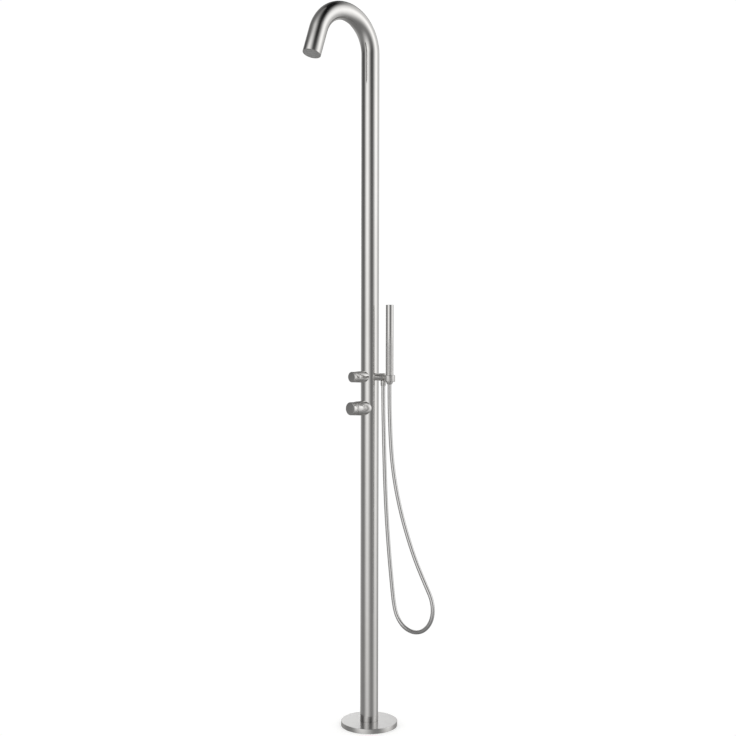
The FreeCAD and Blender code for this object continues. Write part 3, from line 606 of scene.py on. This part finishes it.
def make_ferrule():
    nipple_floor = FERRULE_TOP - NIPPLE_LENGTH
    ferrule = turned("outlet_ferrule", [
        (NIPPLE_R + FIT, FERRULE_TOP), (FERRULE_R, FERRULE_TOP), (FERRULE_R, FERRULE_LOW),
        (HOSE_R + FIT, FERRULE_LOW), (HOSE_R + FIT, HOSE_START_Z), (HOSE_BORE_R, HOSE_START_Z),
        (HOSE_BORE_R, nipple_floor), (NIPPLE_R + FIT, nipple_floor),
    ], segments=80)
    round_rim(ferrule, FERRULE_R, FERRULE_LOW, FERRULE_EDGE, 3)
    place(ferrule, (OUTLET_X, 0, 0))
    finish_piece(ferrule, "post", CUP_STEEL, "stainless", "hose_ferrule")


def make_handset():
    under, bore_r = HANDSET_TOP - CAP, HANDSET_R - HANDSET_WALL
    tube = turned("handset_barrel", [
        (bore_r, NUT_TOP), (HANDSET_R, NUT_TOP), (HANDSET_R, under), (bore_r, under),
    ], segments=112)
    place(tube, (HOLDER_X, 0, 0))
    combine(tube, box_tool((HOLDER_X - HANDSET_R - PAST, -WINDOW_WIDTH / 2, WINDOW_LOW),
                           (HOLDER_X, WINDOW_WIDTH / 2, WINDOW_TOP)))
    finish_piece(tube, "handset", HANDSET_STEEL, "stainless", "handset_tube")
    plug_r = bore_r - FIT
    cap = turned("handset_lid", [
        (plug_r, under - CAP_PLUG), (plug_r, under), (HANDSET_R, under), (HANDSET_R, HANDSET_TOP),
    ], capped=True, segments=112)
    round_rim(cap, HANDSET_R, HANDSET_TOP, CAP_EDGE, 5)
    place(cap, (HOLDER_X, 0, 0))
    finish_piece(cap, "handset", HANDSET_STEEL, "stainless", "handset_cap")


def smoothed(node, name, body, material, slot):
    """Copy of a small CAD piece with its loose facets joined, so that its curves shade smoothly."""
    copy = nodes[node].copy()
    copy.data = nodes[node].data.copy()
    copy.name = copy.data.name = name
    copy.parent = None
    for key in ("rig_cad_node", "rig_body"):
        if key in copy:
            del copy[key]
    bpy.context.scene.collection.objects.link(copy)
    in_edit(copy)
    bpy.ops.mesh.select_all(action="SELECT")
    bpy.ops.mesh.remove_doubles(threshold=MERGE * MM)
    to_object()
    if copy.data.attributes.get("custom_normal"):
        bpy.ops.mesh.customdata_custom_splitnormals_clear()
    finish_piece(copy, body, material, slot, node, angle=35)


# ---- Hose ----
def smooth_line(points):
    """Points along the smooth line that the route controls."""
    curve = bpy.data.curves.new("hose_line", "CURVE")
    curve.dimensions = "3D"
    curve.resolution_u = 160
    spline = curve.splines.new("NURBS")
    spline.points.add(len(points) - 1)
    for control_point, point in zip(spline.points, points):
        control_point.co = (*point, 1)
    spline.order_u = 3
    spline.use_endpoint_u = True
    line = bpy.data.objects.new("hose_line", curve)
    bpy.context.scene.collection.objects.link(line)
    mesh = bpy.data.meshes.new_from_object(line)
    path = [vertex.co.copy() for vertex in mesh.vertices]
    bpy.data.objects.remove(line)
    bpy.data.meshes.remove(mesh)
    return path


def even_steps(path, step):
    """The same line, read at even steps; each entry is (place, direction, distance)."""
    entries = []
    travelled, wanted = 0.0, 0.0
    total = sum((after - before).length for before, after in zip(path, path[1:]))
    count = round(total / step)
    step = total / count
    for before, after in zip(path, path[1:]):
        length = (after - before).length
        while length > 0 and wanted <= travelled + length + 1e-9 and len(entries) <= count:
            share = (wanted - travelled) / length
            entries.append((before.lerp(after, share), (after - before) / length, wanted))
            wanted += step
        travelled += length
    return entries


def make_hose():
    """Strip-wound hose: one spiral groove from end to end, on a tube that follows the line."""
    entries = even_steps(smooth_line(HOSE_ROUTE), SPIRAL_PITCH / SPIRAL_STEPS)
    vertices, grooves, faces = [], [], []
    across = Vector((0, 1, 0))
    for centre, direction, distance in entries:
        outward = direction.cross(across).normalized()
        for number in range(HOSE_POINTS):
            turn = 2 * math.pi * number / HOSE_POINTS
            phase = (distance / SPIRAL_PITCH - number / HOSE_POINTS) % 1.0
            groove = max(0.0, math.cos(2 * math.pi * phase)) ** SPIRAL_SHARPNESS
            radius = HOSE_R * MM - SPIRAL_DEPTH * groove
            vertices.append(centre + (outward * math.cos(turn) + across * math.sin(turn)) * radius)
            grooves.append(groove)
    last = (len(entries) - 1) * HOSE_POINTS     # first point of the last ring
    for ring in range(0, last, HOSE_POINTS):
        for number in range(HOSE_POINTS):
            after = (number + 1) % HOSE_POINTS
            faces.append((ring + number, ring + after,
                          ring + HOSE_POINTS + after, ring + HOSE_POINTS + number))
    faces.append(tuple(range(HOSE_POINTS)))
    faces.append(tuple(range(last + HOSE_POINTS - 1, last - 1, -1)))
    mesh = bpy.data.meshes.new("wound_hose")
    mesh.from_pydata(vertices, [], faces)
    mesh.update()
    mesh.attributes.new("groove", "FLOAT", "POINT").data.foreach_set("value", grooves)
    hose = bpy.data.objects.new("wound_hose", mesh)
    bpy.context.scene.collection.objects.link(hose)
    in_edit(hose)
    bpy.ops.mesh.select_all(action="SELECT")
    bpy.ops.mesh.normals_make_consistent(inside=False)
    to_object()
    activate(hose)
    bpy.ops.object.shade_smooth()
    mesh.materials.append(HOSE_STEEL)
    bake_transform(hose)
    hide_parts("shower_hose")


# ---- Studio ----
# Soft light banks round the post: direction from the camera's side in degrees (positive to the
# right), half widths where the light starts and ends to fade, strength, and the heights over
# which it rises and fades.
LIGHT_BANKS = [
    (-32.7, 0.0, 50.7, 1.29, (-68, 43), (2.5, 85)),
    (76.1, 0.5, 47.3, 0.82, (-70, 21), (13, 62)),
    (120.9, 21.6, 69.1, 0.675, (-43, 41), (42, 74)),
    (-145.6, 1.0, 41.7, 0.27, (-44, 6), (33, 87)),
    (-59.4, 18.3, 101.0, 0.20, (21, 50), (95, 105)),
    (-172.5, 7.0, 8.0, 1.30, (-2, 5), (15, 22)),
    (172.5, 7.0, 8.0, 0.10, (-2, 5), (15, 22)),
]
SLANT = 0.256               # the banks lean: degrees of bearing for each degree of height
SLANT_LIMIT = 35.0          # and lean no further beyond this height
ROOM_FLOOR, ROOM_WALL, ROOM_CEILING = 0.194, 0.346, 0.009
WALL_RISE = (-60, 0)        # heights between which the floor's tone turns to the wall's
CEILING_RISE = (-53, 54)    # and the wall's to the ceiling's
TENT_R, TENT_CENTRE = 8, 1.1            # metres; bearings and heights are seen from its centre
LAMP_COLOUR = (1, 0.995, 0.99, 1)
FLOOR_R, FLOOR_Z, FLOOR_COLOUR, FLOOR_GLOW = 0.7, -0.0004, (0.82, 0.82, 0.815, 1), 0.32
SKY_LIGHT, SKY_SEEN_EXTRA = 0.9, 0.12
TO_DEGREES = 180 / math.pi


def empty_graph(holder):
    """Node tree of a material or a world, emptied."""
    holder.use_nodes = True
    holder.node_tree.nodes.clear()
    return Graph(holder.node_tree)


def tent_level(graph):
    """Brightness of the light tent by bearing and height."""
    where = graph.node("ShaderNodeTexCoord").outputs["Object"]
    from_camera_side = graph.node("ShaderNodeMapping", {
        "Vector": where, "Rotation": (0, 0, math.radians(90) - CAMERA_AZIMUTH),
        "Location": (0, 0, -TENT_CENTRE),
    }, vector_type="POINT")
    direction = graph.node("ShaderNodeVectorMath", {0: from_camera_side.outputs["Vector"]},
                           operation="NORMALIZE")
    split = graph.node("ShaderNodeSeparateXYZ", {"Vector": direction.outputs["Vector"]}).outputs
    bearing = graph.math("MULTIPLY", graph.math("ARCTAN2", split["Y"], split["X"]), TO_DEGREES)
    height = graph.math("MULTIPLY", graph.math("ARCSINE", split["Z"]), TO_DEGREES)
    room = graph.fade(height, *WALL_RISE, ROOM_FLOOR, ROOM_WALL)
    level = graph.math("ADD", room, graph.math(
        "MULTIPLY", graph.fade(height, *CEILING_RISE, 0, 1),
        graph.math("SUBTRACT", ROOM_CEILING, room)))
    lean = graph.math("MINIMUM", graph.math("MAXIMUM", height, -SLANT_LIMIT), SLANT_LIMIT)
    bearing = graph.math("MULTIPLY_ADD", lean, SLANT, bearing)
    for centre, inner, outer, strength, rise, fall in LIGHT_BANKS:
        away = graph.math("ABSOLUTE", graph.math(
            "WRAP", graph.math("SUBTRACT", bearing, centre), 180, -180))
        light = graph.fade(away, inner, outer, strength, 0)
        light = graph.math("MULTIPLY", light, graph.fade(height, *rise, 0, 1))
        light = graph.math("MULTIPLY", light, graph.fade(height, *fall, 1, 0))
        level = graph.math("ADD", level, light)
    return level


def make_light_tent():
    """Ring of light banks with a dark ceiling, as polished steel reflects them."""
    deselect()
    bpy.ops.mesh.primitive_uv_sphere_add(segments=64, ring_count=32, radius=TENT_R)
    tent = bpy.context.object
    tent.name = "light_tent"
    in_edit(tent)
    bpy.ops.mesh.select_all(action="SELECT")
    bpy.ops.mesh.normals_make_consistent(inside=True)
    to_object()
    material = bpy.data.materials.new("light_tent")
    graph = empty_graph(material)
    glow = graph.node("ShaderNodeEmission", {"Strength": tent_level(graph), "Color": LAMP_COLOUR})
    graph.node("ShaderNodeOutputMaterial", {"Surface": glow.outputs["Emission"]})
    material.cycles.emission_sampling = "NONE"
    tent.data.materials.append(material)
    tent.visible_camera = False
    tent.visible_diffuse = False
    tent.visible_shadow = False
    tent.visible_transmission = False


def seen_background(graph):
    """1 for the rays that show the background: from the camera, in gloss and through glass."""
    rays = graph.node("ShaderNodeLightPath").outputs
    seen = graph.math("MAXIMUM", rays["Is Camera Ray"], rays["Is Glossy Ray"])
    return graph.math("MAXIMUM", seen, rays["Is Transmission Ray"])


def make_floor():
    """Pale floor that the background swallows, apart from the soft shadow on it."""
    deselect()
    bpy.ops.mesh.primitive_circle_add(vertices=96, radius=FLOOR_R, fill_type="NGON",
                                      location=(0, 0, FLOOR_Z))
    floor = bpy.context.object
    floor.name = "floor"
    material = bpy.data.materials.new("pale_floor")
    graph = empty_graph(material)
    matt = graph.node("ShaderNodeBsdfDiffuse", {"Color": FLOOR_COLOUR})
    glow = graph.node("ShaderNodeEmission", {
        "Strength": graph.math("MULTIPLY", seen_background(graph), FLOOR_GLOW),
    })
    both = graph.node("ShaderNodeAddShader", {0: matt.outputs["BSDF"], 1: glow.outputs["Emission"]})
    graph.node("ShaderNodeOutputMaterial", {"Surface": both.outputs["Shader"]})
    floor.data.materials.append(material)
    floor.visible_glossy = False


def make_world():
    world = bpy.data.worlds.new("studio")
    bpy.context.scene.world = world
    graph = empty_graph(world)
    strength = graph.math("MULTIPLY_ADD", seen_background(graph), SKY_SEEN_EXTRA, SKY_LIGHT)
    sky = graph.node("ShaderNodeBackground", {"Color": (1, 1, 1, 1), "Strength": strength})
    graph.node("ShaderNodeOutputWorld", {"Surface": sky.outputs["Background"]})


# ---- The scene ----
INNER_FINISHES = [
    (FLANGE_STEEL, ["base_flange"]),
    (RUBBER, ["cover_seal", "outlet_oring", "handset_washer"]),
    (BRASS, ["cold_inlet_fitting", "hot_inlet_fitting", "mixer_block", "diverter_block",
             "outlet_body", "mixer_housing", "diverter_housing", "mixer_spindle",
             "diverter_spindle", "mixer_retaining_nut", "diverter_retaining_nut", "hose_stem"]),
    (PIPE_STEEL, ["cold_supply_pipe", "hot_supply_pipe", "link_pipe", "riser_pipe",
                  "mixer_grub_screw", "diverter_grub_screw"]),
    (PLASTIC, ["mixer_cartridge", "diverter_cartridge", "handset_waterway"]),
    (CERAMIC, ["mixer_fixed_disc", "mixer_moving_disc", "diverter_fixed_disc",
               "diverter_moving_disc"]),
]

make_camera()
make_hose()
make_post()
make_cover()
make_sleeve("mixer_sleeve", MIXER)
make_sleeve("diverter_sleeve", DIVERTER)
make_knob("mixer_knob", "mixer_control", MIXER)
make_knob("diverter_knob", "diverter_control", DIVERTER)
make_arm()
make_holder()
make_nut()
make_ferrule()
make_handset()
smoothed("nozzle_strip", "nozzle_pad", "handset", SILICONE, "silicone")
smoothed("spray_plate", "spray_disc", "post", PLATE_STEEL, "stainless")
smoothed("nozzle_mat", "spray_nozzles", "post", SILICONE, "silicone")
for finish, names in INNER_FINISHES:
    for name in names:
        nodes[name].data.materials.clear()
        nodes[name].data.materials.append(finish)

make_light_tent()
make_floor()
make_world()
bpy.context.scene.view_settings.view_transform = "Standard"
